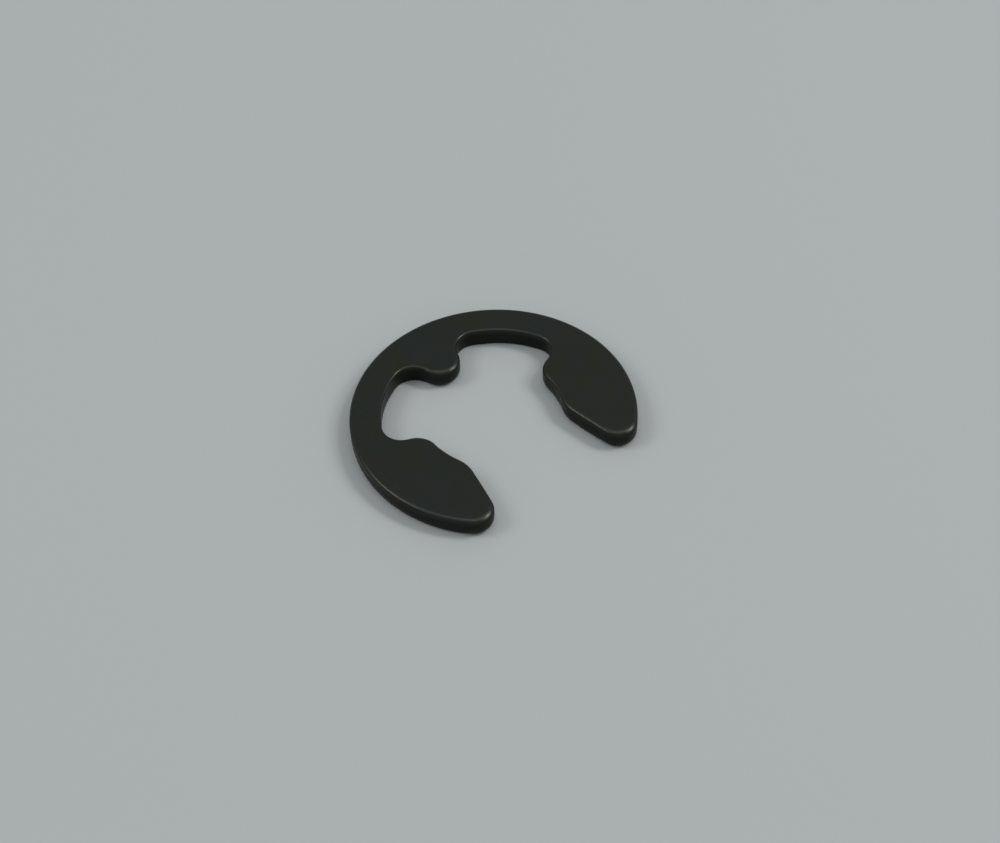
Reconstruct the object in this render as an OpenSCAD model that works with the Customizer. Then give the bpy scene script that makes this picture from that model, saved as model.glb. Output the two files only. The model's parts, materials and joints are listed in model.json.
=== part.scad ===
// E-clip: an open retaining ring, stamped from flat spring steel, that snaps
// sideways into a groove round a shaft. It bears on the shaft at three places:
// the tip of the tongue and the seats of the two jaws.
// It lies flat on z = 0, centred on the shaft's axis. The back of the ring is
// at +Y, with the tongue inside it, and the mouth opens at -Y.

/* [Ring] */
// Outer diameter
outer_d = 12; // [11:0.1:13]
// Thickness of the sheet
thickness = 0.9; // [0.7:0.05:1.2]
// Diameter of the circle that the tongue and the jaws bear on
seat_d = 5.85; // [5.6:0.05:6.1]
// Diameter of the two pockets beside the tongue, which leave the springy back
pocket_d = 9.35; // [9.1:0.05:9.6]

/* [Tongue] */
// Radius of the tongue's round tip
tongue_r = 0.85; // [0.7:0.05:1]
// Fillet where the tongue joins the back
tongue_fillet = 0.85; // [0.75:0.05:1]

/* [Jaws] */
// Angle above the cross axis at which each seat ends in its knee
knee_angle = 2; // [0:0.5:5]
// Radius of the rounded knee between the seat and the pocket
knee_r = 0.85; // [0.7:0.05:1]
// Fillet at the end of the pocket, above the knee
knee_fillet = 0.85; // [0.75:0.05:1]
// Width of the mouth at its narrowest, which the shaft is pushed through
mouth_w = 5.1; // [4.9:0.05:5.3]
// Radius of the corner between the seat and the mouth
mouth_corner_r = 1.4; // [1:0.1:1.8]
// Angle by which each side of the mouth flares outwards
mouth_flare = 11; // [6:1:16]
// Radius of the tip of each leg
leg_tip_r = 0.8; // [0.6:0.05:1]

/* [Edges] */
// Radius of the rolled edge round the upper face
upper_edge_r = 0.15; // [0.08:0.01:0.2]
// Radius of the broken edge round the lower face
lower_edge_r = 0.12; // [0.05:0.01:0.15]

/* [Hidden] */
ring_r = outer_d / 2;
seat_r = seat_d / 2;
pocket_r = pocket_d / 2;
// Greatest turn of the outline between two sections, and facets round an edge
arc_step = 6;
edge_facets = 4;
// Width of the rim that carries the rounded edges, and how far the flat plate
// inside it stays from the wall
rim_w = (ring_r - pocket_r) / 3;
plate_inset = (rim_w + max(upper_edge_r, lower_edge_r)) / 2;
steel = "#33362f";

function polar(r, a) = [r * cos(a), r * sin(a)];
function bearing(v) = atan2(v[1], v[0]);
// Distance along dir from the point p to the circle of radius r round the origin
function run_to_circle(p, dir, r) = -(p * dir) + sqrt(pow(p * dir, 2) - p * p + r * r);
// Angle between two sides of a triangle, of lengths a and b, that faces the side of length c
function apex(a, b, c) = acos((a * a + b * b - c * c) / (2 * a * b));

// Centres of the arcs in the right half of the outline
tongue_c = [0, seat_r + tongue_r];
knee_c = polar(seat_r + knee_r, knee_angle);
root_path = pocket_r - tongue_fillet;
root_c = polar(root_path, 90 - apex(root_path, norm(tongue_c), tongue_fillet + tongue_r));
end_path = pocket_r - knee_fillet;
end_c = polar(end_path, knee_angle + apex(end_path, norm(knee_c), knee_fillet + knee_r));
corner_path = seat_r + mouth_corner_r;
corner_angle = -acos((mouth_w / 2 + mouth_corner_r) / corner_path);
corner_c = polar(corner_path, corner_angle);

// The straight side of the mouth, from the corner to the tip of the leg
mouth_face = 180 + mouth_flare;
mouth_dir = polar(1, mouth_flare - 90);
leg_tip_start = corner_c + polar(mouth_corner_r - leg_tip_r, mouth_face);
leg_tip_c = leg_tip_start + mouth_dir * run_to_circle(leg_tip_start, mouth_dir, ring_r - leg_tip_r);

// The arcs from the tip of the tongue to the middle of the back, each as its
// centre, its radius and the bearings of its ends. One that turns anticlockwise
// goes round steel, and one that turns clockwise goes round a hollow.
tongue_side = bearing(root_c - tongue_c);
arcs = [
    [tongue_c, tongue_r, -90, tongue_side],
    [root_c, tongue_fillet, 180 + tongue_side, bearing(root_c)],
    [[0, 0], pocket_r, bearing(root_c), bearing(end_c)],
    [end_c, knee_fillet, bearing(end_c), bearing(knee_c - end_c)],
    [knee_c, knee_r, bearing(end_c - knee_c), 180 + knee_angle],
    [[0, 0], seat_r, knee_angle, corner_angle],
    [corner_c, mouth_corner_r, 180 + corner_angle, mouth_face],
    [leg_tip_c, leg_tip_r, mouth_face, 360 + bearing(leg_tip_c)],
    [[0, 0], ring_r, bearing(leg_tip_c), 90],
];

// Places along an arc, each as its point and the direction outwards from the steel
function places(arc) = let (sweep = arc[3] - arc[2], steps = ceil(abs(sweep) / arc_step))
    [for (i = [0:steps]) let (a = arc[2] + sweep * i / steps)
        [arc[0] + polar(arc[1], a), polar(sign(sweep), a)]];

// The whole outline. Where two arcs meet, the place that ends the first is left out.
right_side = [for (i = [0:len(arcs) - 1]) let (p = places(arcs[i]), straight = i == 6 || i == 8)
    for (k = [0:len(p) - (straight ? 1 : 2)]) p[k]];
left_side = [for (i = [len(right_side) - 2:-1:1]) let (p = right_side[i])
    [[-p[0][0], p[0][1]], [-p[1][0], p[1][1]]]];
outline = concat(right_side, left_side);

// Section of the rim, as points [inset from the wall, height]
section = concat(
    [[rim_w, 0]],
    [for (i = [0:edge_facets]) let (a = 90 * i / edge_facets) lower_edge_r * [1 - sin(a), 1 - cos(a)]],
    [for (i = [0:edge_facets]) let (a = 90 * i / edge_facets)
        [upper_edge_r * (1 - cos(a)), thickness - upper_edge_r * (1 - sin(a))]],
    [[rim_w, thickness]]);

// The rim: its section swept once round the outline
module rim() {
    n = len(outline);
    m = len(section);
    polyhedron(
        [for (p = outline) for (s = section) let (q = p[0] - s[0] * p[1]) [q[0], q[1], s[1]]],
        [for (i = [0:n - 1]) for (j = [0:m - 1]) let (i2 = (i + 1) % n, j2 = (j + 1) % m)
            [i * m + j, i * m + j2, i2 * m + j2, i2 * m + j]]);
}

// The flat plate inside the rim
module plate() {
    linear_extrude(thickness)
        polygon([for (i = [0:2:len(outline) - 1]) let (p = outline[i]) p[0] - plate_inset * p[1]]);
}

module e_clip() {
    color(steel) {
        plate();
        rim();
    }
}

e_clip();
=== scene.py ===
"""An e-clip in black-oxide spring steel, lying flat on a pale floor.

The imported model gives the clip's overall size, its thickness and its seat. The
outline is a chain of tangent arcs, and the section along it has the soft edge
that stamping rolls over on the upper face and the broken edge of the lower one.
"""

import json
import math

import bmesh
import bpy
from mathutils import Matrix, Vector


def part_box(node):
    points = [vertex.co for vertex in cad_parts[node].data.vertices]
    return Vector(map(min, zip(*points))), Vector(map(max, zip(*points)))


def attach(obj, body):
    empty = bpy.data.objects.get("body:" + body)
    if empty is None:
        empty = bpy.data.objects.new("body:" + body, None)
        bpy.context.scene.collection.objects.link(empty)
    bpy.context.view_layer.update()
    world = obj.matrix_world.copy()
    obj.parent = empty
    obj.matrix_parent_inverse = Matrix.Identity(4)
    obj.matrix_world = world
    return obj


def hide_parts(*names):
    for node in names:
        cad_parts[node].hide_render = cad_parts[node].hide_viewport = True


bl_info = {
    "name": "E-Clip",
    "version": (1, 0, 0),
    "blender": (4, 5, 0),
    "location": "View3D > Sidebar > E-Clip",
    "description": "Stamped e-clip in black-oxide spring steel, with floor, lamps and camera",
    "category": "Add Mesh",
}

MM = 0.001
# Pixels across the picture, and millimetres across the camera's sensor
IMAGE_WIDTH = 1000
SENSOR_WIDTH = 36.0
# A number from none to all
SHARE = {"min": 0.0, "max": 1.0, "subtype": "FACTOR"}

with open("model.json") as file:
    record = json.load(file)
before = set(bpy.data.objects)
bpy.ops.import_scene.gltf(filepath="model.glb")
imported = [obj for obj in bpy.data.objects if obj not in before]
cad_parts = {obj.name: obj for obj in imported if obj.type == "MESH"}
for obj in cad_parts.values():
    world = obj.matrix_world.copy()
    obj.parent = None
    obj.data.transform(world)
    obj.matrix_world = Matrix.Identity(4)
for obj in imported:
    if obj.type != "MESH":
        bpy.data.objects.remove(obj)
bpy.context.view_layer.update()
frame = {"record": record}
CLIP_LOW, CLIP_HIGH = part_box("e_clip")
SEAT = next(m["dims"] for m in frame["record"]["mounts"] if m["name"] == "shaft_groove")


def srgb(code):
    """Linear colour of an sRGB hex value."""
    parts = [int(code[i : i + 2], 16) / 255 for i in (1, 3, 5)]
    return tuple(c / 12.92 if c <= 0.04045 else ((c + 0.055) / 1.055) ** 2.4 for c in parts)


def length(name, description, default):
    """A length property, in metres."""
    return bpy.props.FloatProperty(
        name=name, description=description, default=default, min=0.0, unit="LENGTH", precision=6
    )


def angle(name, description, degrees):
    """An angle property, given here in degrees."""
    return bpy.props.FloatProperty(
        name=name, description=description, default=math.radians(degrees), subtype="ANGLE"
    )


def number(name, description, default, **kind):
    """A number property, with its unit or subtype."""
    return bpy.props.FloatProperty(name=name, description=description, default=default, **kind)


def colour(name, description, code):
    """A colour property, given here as sRGB hex."""
    return bpy.props.FloatVectorProperty(
        name=name, description=description, default=srgb(code), subtype="COLOR", min=0.0, max=1.0
    )


class ClipSizes(bpy.types.PropertyGroup):
    """Sizes of the clip: its outline, and the section of its edges."""

    outer_d: length("Outer diameter", "Diameter of the ring's outside", CLIP_HIGH.x - CLIP_LOW.x)
    thickness: length("Thickness", "Thickness of the sheet", CLIP_HIGH.z - CLIP_LOW.z)
    seat_d: length(
        "Seat diameter", "Circle that the tongue and the jaws bear on", 2 * MM * SEAT["r_mm"]
    )
    pocket_d: length("Pocket diameter", "Circle of the two pockets beside the tongue", 9.35 * MM)
    tongue_r: length("Tongue radius", "Round tip of the tongue", 0.85 * MM)
    tongue_fillet: length("Tongue fillet", "Fillet between the tongue and the back", 0.85 * MM)
    knee_angle: angle("Knee angle", "Angle above the cross axis at which a seat ends", 2.0)
    knee_r: length("Knee radius", "Rounded knee between the seat and the pocket", 0.85 * MM)
    knee_fillet: length("Knee fillet", "Fillet at the end of the pocket", 0.85 * MM)
    mouth_w: length("Mouth width", "Width of the mouth at its narrowest", 5.1 * MM)
    mouth_corner_r: length("Mouth corner", "Corner between the seat and the mouth", 1.4 * MM)
    mouth_flare: angle("Mouth flare", "Angle by which each side of the mouth flares outwards", 11.0)
    leg_tip_r: length("Leg tip radius", "Tip of each leg", 0.8 * MM)
    point_gap: length("Point spacing", "Distance between points along the outline", 0.09 * MM)
    roll_w: length("Edge roll", "Width of the rolled upper edge on a straight side", 0.16 * MM)
    roll_bend: length("Roll by bend", "Rise in that width at a bend of 1 mm radius", 0.12 * MM)
    roll_drop: number("Roll depth", "Depth of the roll over its width", 0.7, **SHARE)
    break_w: length("Lower edge", "Width of the broken lower edge on a straight side", 0.12 * MM)
    break_bend: length("Break by bend", "Rise in that width at a bend of 1 mm radius", 0.13 * MM)
    break_h: length("Break height", "Height of the lower part of the wall, torn back", 0.42 * MM)


class SteelFinish(bpy.types.PropertyGroup):
    """Colours and texture of the black oxide, and the painted shade on its wall."""

    oxide: colour("Oxide", "Main colour of the black oxide", "#363A37")
    olive: colour("Olive patches", "Where the oxide film is a little thicker", "#383A31")
    brown: colour("Brown patches", "Where the oxide leans to brown", "#3D3833")
    # Painted shade: the wall's colour is multiplied by this, standing in for the shade on it
    painted_wall_shade: number("Wall shade", "Brightness of the wall against the faces", 0.5, **SHARE)
    roughness: number("Roughness", "Roughness of the satin oxide", 0.32, **SHARE)
    wall_roughness: number("Wall roughness", "Roughness of the sheared wall", 0.45, **SHARE)
    patch_size: length("Patch size", "Size of the faint colour patches", 1.6 * MM)
    grain_size: length("Grain size", "Size of the etched grain", 0.05 * MM)
    grain_depth: length("Grain depth", "Depth of the etched grain", 0.0006 * MM)
    dent_size: length("Dent size", "Size of the shallow dents from tumbling", 0.35 * MM)
    dent_depth: length("Dent depth", "Depth of the shallow dents", 0.009 * MM)


class StageSettings(bpy.types.PropertyGroup):
    """Floor, lamps and camera."""

    floor: colour("Floor", "Pale matt floor", "#AAADAC")
    sky: colour("Surroundings", "Even light from all round", "#B5BABC")
    floor_r: length("Floor radius", "Radius of the floor", 0.6)
    overhead_power: number("Overhead lamp", "Wide lamp overhead", 0.24, unit="POWER")
    left_power: number("Left lamp", "Soft lamp at the left", 0.40, unit="POWER")
    right_power: number("Right lamp", "Soft lamp at the right", 0.42, unit="POWER")
    high_right_power: number("High right lamp", "Small lamp at the right", 0.31, unit="POWER")
    camera_elevation: angle("Camera elevation", "Angle of the view above the floor", 48.4)
    camera_azimuth: angle("Camera azimuth", "Bearing of the camera from the mouth's side", -35.34)
    camera_roll: angle("Camera roll", "Turn of the picture about the view", 2.5)
    camera_distance: length("Camera distance", "From the camera to the shaft's axis", 83.77 * MM)
    focal_px: number("Focal length", "Focal length in pixels", 2000.0, subtype="PIXEL")
    axis_px: number("Axis across", "Shaft's axis right of the middle", -6.07, subtype="PIXEL")
    axis_py: number("Axis down", "Shaft's axis below the middle", 3.5, subtype="PIXEL")


# The outline


def polar(radius, direction):
    """Point at a radius and a bearing, in the plane of the sheet."""
    return Vector((radius * math.cos(direction), radius * math.sin(direction), 0.0))


def bearing(vector):
    """Bearing of a vector in the plane of the sheet."""
    return math.atan2(vector.y, vector.x)


def apex(a, b, c):
    """Angle between two sides of a triangle, a and b, that faces the side c."""
    return math.acos((a * a + b * b - c * c) / (2 * a * b))


def right_half(sizes):
    """The right half of the outline, from the tongue's tip to the middle of the back.

    Each step is a turn (centre, angle) or the straight side of the mouth (way, None).
    A turn to the left is round steel, and a turn to the right is round a hollow.
    """
    ring_r, seat_r, pocket_r = sizes.outer_d / 2, sizes.seat_d / 2, sizes.pocket_d / 2
    tongue_c = polar(seat_r + sizes.tongue_r, math.pi / 2)
    knee_c = polar(seat_r + sizes.knee_r, sizes.knee_angle)

    root_path = pocket_r - sizes.tongue_fillet
    root_apex = apex(root_path, tongue_c.length, sizes.tongue_fillet + sizes.tongue_r)
    root_c = polar(root_path, math.pi / 2 - root_apex)
    end_path = pocket_r - sizes.knee_fillet
    end_apex = apex(end_path, knee_c.length, sizes.knee_fillet + sizes.knee_r)
    end_c = polar(end_path, sizes.knee_angle + end_apex)

    corner_path = seat_r + sizes.mouth_corner_r
    corner_angle = -math.acos((sizes.mouth_w / 2 + sizes.mouth_corner_r) / corner_path)
    corner_c = polar(corner_path, corner_angle)
    mouth_face = math.pi + sizes.mouth_flare
    mouth_dir = polar(1.0, sizes.mouth_flare - math.pi / 2)
    tip_from = corner_c + polar(sizes.mouth_corner_r - sizes.leg_tip_r, mouth_face)
    tip_path = ring_r - sizes.leg_tip_r
    along = tip_from.dot(mouth_dir)
    reach = -along + math.sqrt(along**2 - tip_from.length_squared + tip_path**2)
    mouth_side = mouth_dir * reach
    tip_c = tip_from + mouth_side

    tongue_side = bearing(root_c - tongue_c)
    return [
        (tongue_c, tongue_side + math.pi / 2),
        (root_c, bearing(root_c) - tongue_side - math.pi),
        (Vector(), bearing(end_c) - bearing(root_c)),
        (end_c, bearing(knee_c - end_c) - bearing(end_c)),
        (knee_c, math.pi + sizes.knee_angle - bearing(end_c - knee_c)),
        (Vector(), corner_angle - sizes.knee_angle),
        (corner_c, sizes.mouth_flare - corner_angle),
        (mouth_side, None),
        (tip_c, math.pi + bearing(tip_c) - sizes.mouth_flare),
        (Vector(), math.pi / 2 - bearing(tip_c)),
    ]


def is_vert(item):
    """Tells the vertices in a bmesh operator's result from its edges and faces."""
    return isinstance(item, bmesh.types.BMVert)


def spin_outline(bm, sizes):
    """Spins one vertex along the outline's right half, mirrors it, and returns the layers.

    Each vertex keeps its place on the wall, the way outwards and the outline's bend,
    which is 1 on a round of 1 mm radius, 0 on a straight side and negative in a hollow.
    """
    place = bm.verts.layers.float_vector.new("place")
    out = bm.verts.layers.float_vector.new("out")
    bend = bm.verts.layers.float.new("bend")
    last = bm.verts.new((0.0, sizes.seat_d / 2, 0.0))
    last[out] = (0.0, -1.0, 0.0)
    for centre_or_side, sweep in right_half(sizes):
        if sweep is None:
            steps = math.ceil(centre_or_side.length / sizes.point_gap)
            for _ in range(steps):
                made = bmesh.ops.extrude_vert_indiv(bm, verts=[last])["verts"][0]
                made.co = last.co + centre_or_side / steps
                made[bend] = 0.0
                last = made
            continue
        centre = centre_or_side
        radius = (last.co - centre).length
        side = math.copysign(1.0 / radius, sweep)
        steps = math.ceil(abs(sweep) * radius / sizes.point_gap)
        known = set(bm.verts)
        spun = bmesh.ops.spin(
            bm, geom=[last], cent=centre, axis=(0, 0, 1), angle=sweep, steps=steps
        )
        for vert in set(bm.verts) - known:
            vert[out] = (vert.co - centre) * side
            vert[bend] = side * MM
        last = next(filter(is_vert, spun["geom_last"]))
    bmesh.ops.mirror(
        bm,
        geom=bm.verts[:] + bm.edges[:],
        matrix=Matrix.Identity(4),
        merge_dist=sizes.point_gap / 10,
        axis="X",
    )
    for vert in bm.verts:
        vert[place] = vert.co
        if vert.co.x < 0:
            vert[out] = vert[out] * Vector((-1, 1, 1))
    return place, out, bend


def smooth_bend(bm, bend, rounds):
    """Evens out the bend along the outline, so that the edge's roll widens gradually."""
    for _ in range(rounds):
        means = [sum(e.other_vert(v)[bend] for e in v.link_edges) / 2 for v in bm.verts]
        for vert, mean in zip(bm.verts, means):
            vert[bend] = (vert[bend] + mean) / 2


# The section

BREAK_STEPS = 5
WALL_STEPS = 4
ROLL_STEPS = 12
# Rounds of smoothing of the bend between neighbours on the outline
BEND_ROUNDS = 60
# Least widths of the two edges, in the tightest hollows
LEAST_ROLL = 0.115 * MM
LEAST_BREAK = 0.07 * MM
# Flat strip inside each edge, which keeps its smooth shading off the wide faces
FLAT_MARGIN = 0.015 * MM


def section(sizes, bend):
    """Points up the section, from the lower face to the upper: (inset from the wall, height)."""
    roll_w = max(LEAST_ROLL, sizes.roll_w + sizes.roll_bend * bend)
    roll_h = roll_w * sizes.roll_drop
    break_w = max(LEAST_BREAK, sizes.break_w + sizes.break_bend * bend)
    break_h, top = sizes.break_h, sizes.thickness
    quarter = math.pi / 2
    points = [(break_w + FLAT_MARGIN, 0.0)]
    for i in range(BREAK_STEPS + 1):
        t = quarter * i / BREAK_STEPS
        points.append((break_w * (1 - math.sin(t)), break_h * (1 - math.cos(t))))
    for i in range(1, WALL_STEPS):
        points.append((0.0, break_h + (top - roll_h - break_h) * i / WALL_STEPS))
    for i in range(ROLL_STEPS + 1):
        t = quarter * i / ROLL_STEPS
        points.append((roll_w * (1 - math.cos(t)), top - roll_h * (1 - math.sin(t))))
    points.append((roll_w + FLAT_MARGIN, top))
    return points


def raise_section(bm, sizes, place, out, bend):
    """Extrudes the outline up its section, ring by ring, and closes both faces."""
    for vert in bm.verts:
        inset, _ = section(sizes, vert[bend])[0]
        vert.co = vert[place] - inset * vert[out]
    ring = bm.edges[:]
    bmesh.ops.contextual_create(bm, geom=ring)
    for step in range(1, len(section(sizes, 0.0))):
        made = bmesh.ops.extrude_edge_only(bm, edges=ring)["geom"]
        verts = set(filter(is_vert, made))
        for vert in verts:
            inset, height = section(sizes, vert[bend])[step]
            vert.co = vert[place] - inset * vert[out]
            vert.co.z = height
        ring = [g for g in made if isinstance(g, bmesh.types.BMEdge) and verts.issuperset(g.verts)]
    bmesh.ops.contextual_create(bm, geom=ring)
    bmesh.ops.recalc_face_normals(bm, faces=bm.faces[:])


def fix_order(bm):
    """Sorts the edges and faces, because an extrusion adds them in a new order each run."""
    bm.verts.index_update()
    for items in (bm.edges, bm.faces):
        in_order = sorted(items, key=lambda item: sorted(v.index for v in item.verts))
        for index, item in enumerate(in_order):
            item.index = index
        items.sort()


def make_object(name, bm, material):
    """Turns a bmesh into an object at the origin, with smooth faces and one material."""
    mesh = bpy.data.meshes.new(name)
    for face in bm.faces:
        face.smooth = True
    bm.to_mesh(mesh)
    bm.free()
    mesh.materials.append(material)
    piece = bpy.data.objects.new(name, mesh)
    bpy.context.scene.collection.objects.link(piece)
    return piece


# Materials

# Places of a colour mix's sockets, which share their names with its other kinds
MIX_A, MIX_B, MIX_RESULT = 6, 7, 2
# How strongly the finer steps of each noise show against its coarser ones
NOISE_ROUGHNESS = 0.6
# Colour patches of the oxide: setting, span of the noise that they fade in over, greatest
# share, and how far the noise is moved so that the two sets don't coincide
PATCHES = (
    ("olive", (0.45, 0.65), 1.0, 0.0),
    ("brown", (0.52, 0.72), 0.5, 20 * MM),
)
# Height under the upper face over which the wall's painted shade and its roughness fade out
WALL_FADE = 0.25 * MM
# Span of the grain's noise, and how far the grain moves the roughness up and down
GRAIN_SPAN = (0.3, 0.7)
GRAIN_ROUGHNESS = 0.05


def add(tree, kind, inputs=(), **settings):
    """Adds a node with its settings. An input is a value, or a socket to link from."""
    node = tree.nodes.new(kind)
    for key, value in settings.items():
        setattr(node, key, value)
    for key, value in dict(inputs).items():
        if isinstance(value, bpy.types.NodeSocket):
            tree.links.new(value, node.inputs[key])
        else:
            node.inputs[key].default_value = value
    return node


def new_material(name):
    """A material with an empty node tree."""
    material = bpy.data.materials.new(name)
    material.use_nodes = True
    material.node_tree.nodes.clear()
    return material


def black_oxide(finish):
    """Black-oxide spring steel, stamped from sheet, tumbled and blackened in a hot bath."""
    material = new_material("black_oxide_spring_steel")
    tree = material.node_tree
    coords = add(tree, "ShaderNodeTexCoord").outputs["Object"]

    # The oxide is a dark metal with a satin sheen: near black in the flat, with a grey
    # glint along the rolled edges. Its film is a touch olive or brown in soft patches.
    film = (*finish.oxide, 1.0)
    for name, (low, high), most, aside in PATCHES:
        moved = add(tree, "ShaderNodeMapping", {"Vector": coords, "Location": (aside, aside, 0.0)})
        patches = add(
            tree,
            "ShaderNodeTexNoise",
            {
                "Vector": moved.outputs["Vector"],
                "Scale": 1 / finish.patch_size,
                "Detail": 3.0,
                "Roughness": NOISE_ROUGHNESS,
            },
        )
        amount = add(
            tree,
            "ShaderNodeMapRange",
            {
                "Value": patches.outputs["Fac"],
                "From Min": low,
                "From Max": high,
                "To Max": most,
            },
        )
        mixed = add(
            tree,
            "ShaderNodeMix",
            {
                "Factor": amount.outputs["Result"],
                MIX_A: film,
                MIX_B: (*getattr(finish, name), 1.0),
            },
            data_type="RGBA",
        )
        film = mixed.outputs[MIX_RESULT]

    # The shear tears the wall, which is rougher than the tumbled faces. The wall's colour is also
    # painted darker, as painted shade where the wall catches less light. Both fade out over the
    # roll of the upper edge.
    height = add(tree, "ShaderNodeSeparateXYZ", {"Vector": coords}).outputs["Z"]
    off_wall = add(
        tree,
        "ShaderNodeMapRange",
        {"Value": height, "From Min": CLIP_HIGH.z - WALL_FADE, "From Max": CLIP_HIGH.z},
    ).outputs["Result"]
    # Painted shade: darkens the oxide colour on the wall, fading out towards the upper face
    shade = add(
        tree, "ShaderNodeMapRange", {"Value": off_wall, "To Min": finish.painted_wall_shade, "To Max": 1.0}
    )
    film_with_painted_shade = add(
        tree,
        "ShaderNodeMix",
        {"Factor": 1.0, MIX_A: film, MIX_B: shade.outputs["Result"]},
        data_type="RGBA",
        blend_type="MULTIPLY",
    )
    satin = add(
        tree,
        "ShaderNodeMapRange",
        {"Value": off_wall, "To Min": finish.wall_roughness, "To Max": finish.roughness},
    )

    # The bath etches a fine grain, which breaks up the sheen. The real grain is finer than
    # 0.05 mm, and is drawn coarser here so that it shows.
    grain = add(
        tree,
        "ShaderNodeTexNoise",
        {
            "Vector": coords,
            "Scale": 1 / finish.grain_size,
            "Detail": 2.0,
            "Roughness": NOISE_ROUGHNESS,
        },
    )
    uneven = add(
        tree,
        "ShaderNodeMapRange",
        {
            "Value": grain.outputs["Fac"],
            "From Min": GRAIN_SPAN[0],
            "From Max": GRAIN_SPAN[1],
            "To Min": -GRAIN_ROUGHNESS,
            "To Max": GRAIN_ROUGHNESS,
        },
    )
    rough = add(
        tree,
        "ShaderNodeMath",
        {0: satin.outputs["Result"], 1: uneven.outputs["Result"]},
        operation="ADD",
    )

    # Tumbling leaves shallow dents, which make the glint along the edges uneven
    tumbled = add(
        tree,
        "ShaderNodeTexNoise",
        {
            "Vector": coords,
            "Scale": 1 / finish.dent_size,
            "Detail": 2.0,
            "Roughness": NOISE_ROUGHNESS,
        },
    )
    dents = add(
        tree,
        "ShaderNodeBump",
        {"Height": tumbled.outputs["Fac"], "Distance": finish.dent_depth},
    )
    etched = add(
        tree,
        "ShaderNodeBump",
        {
            "Height": grain.outputs["Fac"],
            "Distance": finish.grain_depth,
            "Normal": dents.outputs["Normal"],
        },
    )
    steel = add(
        tree,
        "ShaderNodeBsdfPrincipled",
        {
            "Base Color": film_with_painted_shade.outputs[MIX_RESULT],
            "Metallic": 1.0,
            "Roughness": rough.outputs["Value"],
            "Normal": etched.outputs["Normal"],
        },
    )
    add(tree, "ShaderNodeOutputMaterial", {"Surface": steel.outputs["BSDF"]})
    return material


def matt_floor(stage):
    """Matt paper, pressed smooth."""
    material = new_material("matt_paper_floor")
    tree = material.node_tree
    # It has no sheen: one even pale colour that only takes the clip's soft shadow
    paper = add(
        tree,
        "ShaderNodeBsdfPrincipled",
        {"Base Color": (*stage.floor, 1.0), "Roughness": 1.0, "Specular IOR Level": 0.0},
    )
    add(tree, "ShaderNodeOutputMaterial", {"Surface": paper.outputs["BSDF"]})
    return material


# Operators


class ECLIP_OT_clip(bpy.types.Operator):
    """Builds the e-clip's rolled-edge steel body in place of the plain solid."""

    bl_idname = "eclip.clip"
    bl_label = "E-Clip"

    def execute(self, context):
        sizes = context.scene.eclip_sizes
        bm = bmesh.new()
        place, out, bend = spin_outline(bm, sizes)
        smooth_bend(bm, bend, BEND_ROUNDS)
        raise_section(bm, sizes, place, out, bend)
        fix_order(bm)
        if any(len(e.link_faces) != 2 for e in bm.edges):
            raise RuntimeError("the clip's outline does not close with these sizes")
        piece = make_object("e_clip_body", bm, black_oxide(context.scene.eclip_finish))
        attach(piece, "root")
        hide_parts("e_clip")
        return {"FINISHED"}


# The floor lies just under the clip, so that the two faces don't coincide
FLOOR_Z = -0.001 * MM
FLOOR_SIDES = 96
# Each lamp's name, power setting, diameter and place. The place is seen from the camera:
# right, away and up.
LAMPS = (
    ("overhead_lamp", "overhead_power", 0.30, (0.0, 0.0, 0.45)),
    ("left_lamp", "left_power", 0.20, (-0.31, 0.0, 0.32)),
    ("right_lamp", "right_power", 0.12, (0.33, 0.0, 0.30)),
    ("high_right_lamp", "high_right_power", 0.08, (0.23, 0.05, 0.33)),
)
# The camera sees from its distance over this to its distance times this
VIEW_DEPTH = 100


def soft_lamp(name, power, size, place):
    """A round soft lamp that faces the clip."""
    light = bpy.data.lights.new(name, "AREA")
    light.shape = "DISK"
    light.size = size
    light.energy = power
    lamp = bpy.data.objects.new(name, light)
    lamp.location = place
    lamp.rotation_euler = lamp.location.to_track_quat("Z", "Y").to_euler()
    bpy.context.scene.collection.objects.link(lamp)


def make_camera(stage, turn):
    """A camera at the given elevation and distance, with the shaft's axis off the middle."""
    elevation, roll = stage.camera_elevation, stage.camera_roll
    distance = stage.camera_distance
    back = turn @ Vector((0.0, -math.cos(elevation), math.sin(elevation)))
    level = turn @ Vector((1.0, 0.0, 0.0))
    rise = back.cross(level)
    right = level * math.cos(roll) - rise * math.sin(roll)
    up = level * math.sin(roll) + rise * math.cos(roll)
    per_px = distance / stage.focal_px
    place = back * distance - right * stage.axis_px * per_px + up * stage.axis_py * per_px
    data = bpy.data.cameras.new("camera")
    data.sensor_width = SENSOR_WIDTH
    data.lens = stage.focal_px / IMAGE_WIDTH * SENSOR_WIDTH
    data.clip_start, data.clip_end = distance / VIEW_DEPTH, distance * VIEW_DEPTH
    camera = bpy.data.objects.new("camera", data)
    turned = Matrix((right, up, back)).transposed().to_4x4()
    camera.matrix_world = Matrix.Translation(place) @ turned
    bpy.context.scene.collection.objects.link(camera)
    return camera


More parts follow.
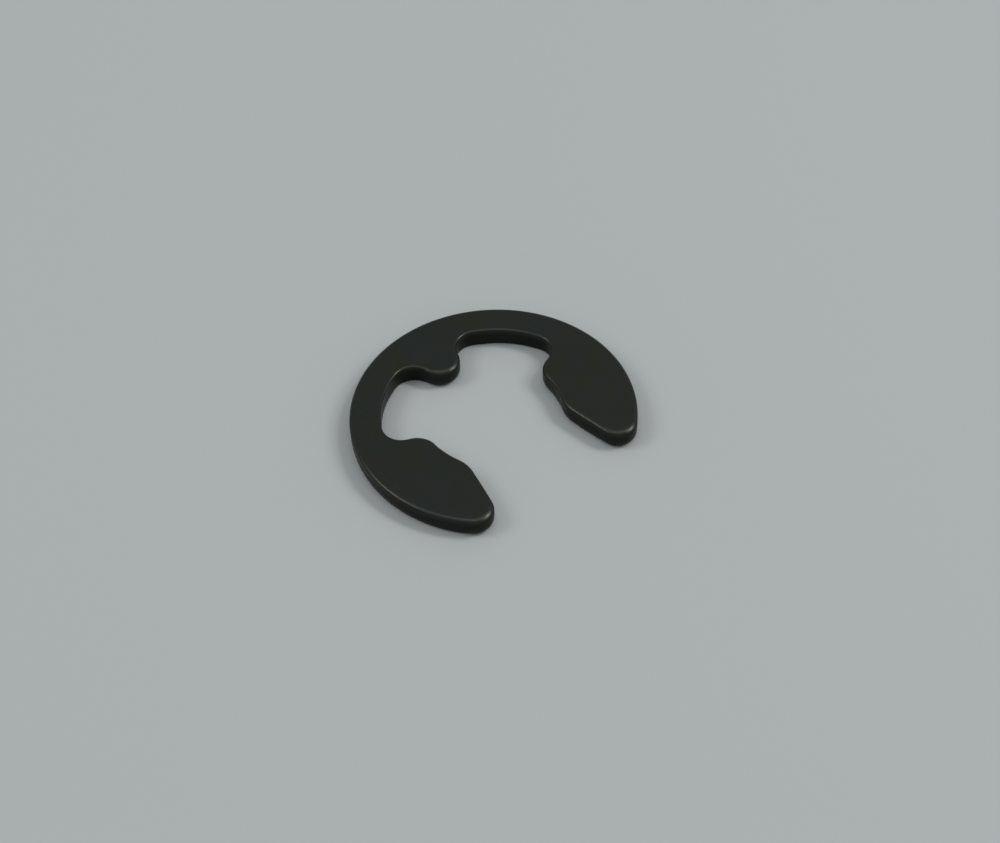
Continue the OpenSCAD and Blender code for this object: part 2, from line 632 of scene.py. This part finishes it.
class ECLIP_OT_stage(bpy.types.Operator):
    """Lays the pale floor and sets the surroundings, the soft lamps and the camera."""

    bl_idname = "eclip.stage"
    bl_label = "Floor, Lamps and Camera"

    def execute(self, context):
        scene = context.scene
        stage = scene.eclip_stage
        turn = Matrix.Rotation(stage.camera_azimuth, 3, "Z")

        bm = bmesh.new()
        bmesh.ops.create_circle(bm, cap_ends=True, segments=FLOOR_SIDES, radius=stage.floor_r)
        bmesh.ops.translate(bm, verts=bm.verts[:], vec=(0, 0, FLOOR_Z))
        floor = make_object("floor", bm, matt_floor(stage))

        world = bpy.data.worlds.new("studio")
        world.use_nodes = True
        sky = world.node_tree.nodes["Background"].inputs["Color"]
        sky.default_value = (*stage.sky, 1.0)
        scene.world = world
        for name, power, size, place in LAMPS:
            soft_lamp(name, getattr(stage, power), size, turn @ Vector(place))

        scene.camera = make_camera(stage, turn)
        scene.view_settings.view_transform = "Standard"
        return {"FINISHED"}


class ECLIP_PT_panel(bpy.types.Panel):
    """Lists the operators and their settings."""

    bl_idname = "ECLIP_PT_panel"
    bl_label = "E-Clip"
    bl_space_type = "VIEW_3D"
    bl_region_type = "UI"
    bl_category = "E-Clip"

    def draw(self, context):
        scene = context.scene
        for operator, groups in PANEL_ROWS:
            box = self.layout.box()
            for name in groups:
                group = getattr(scene, name)
                for key in group.__annotations__:
                    box.prop(group, key)
            box.operator(operator.bl_idname)


PANEL_ROWS = (
    (ECLIP_OT_clip, ("eclip_sizes", "eclip_finish")),
    (ECLIP_OT_stage, ("eclip_stage",)),
)
CLASSES = (ClipSizes, SteelFinish, StageSettings, ECLIP_OT_clip, ECLIP_OT_stage, ECLIP_PT_panel)
GROUPS = {"eclip_sizes": ClipSizes, "eclip_finish": SteelFinish, "eclip_stage": StageSettings}


def register():
    """Registers the classes and puts their settings on the scene."""
    for cls in CLASSES:
        bpy.utils.register_class(cls)
    for name, group in GROUPS.items():
        setattr(bpy.types.Scene, name, bpy.props.PointerProperty(type=group))


def unregister():
    """Takes the settings off the scene and the classes off the register."""
    for name in GROUPS:
        delattr(bpy.types.Scene, name)
    for cls in reversed(CLASSES):
        bpy.utils.unregister_class(cls)


def main():
    """Builds the clip and its stage."""
    register()
    bpy.ops.eclip.clip()
    bpy.ops.eclip.stage()


if __name__ == "__main__":
    main()
